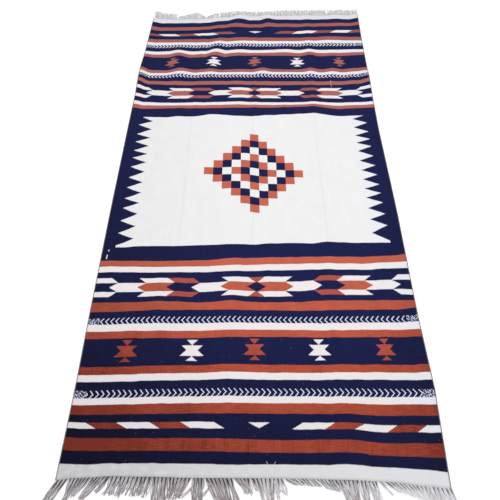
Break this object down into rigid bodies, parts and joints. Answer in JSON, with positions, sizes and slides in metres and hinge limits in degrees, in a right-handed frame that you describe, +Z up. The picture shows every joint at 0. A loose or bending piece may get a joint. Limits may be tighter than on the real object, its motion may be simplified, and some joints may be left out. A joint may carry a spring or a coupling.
{
  "type": "dhurrie rug",
  "caption": "Flat-woven cotton rug lying open, with lengthwise ridges towards one end and loose warp fringe at both ends.",
  "frame": {"origin": "on the floor, under the middle of the rug", "axes": "+Z up from the floor, +Y along the rug towards its rucked far end, +X across it to the right"},
  "size_m": [1.2792, 2.5782, 0.019],
  "materials": {
    "cotton_weave": "flat-woven cotton in undyed white, navy and rust, matt",
    "warp_yarn": "loose undyed cotton warp yarn, greyed with handling, matt"
  },
  "bodies": {
    "root": {"woven_cloth": "cotton_weave", "fringe_near": "warp_yarn", "fringe_far": "warp_yarn"}
  },
  "joints": []
}
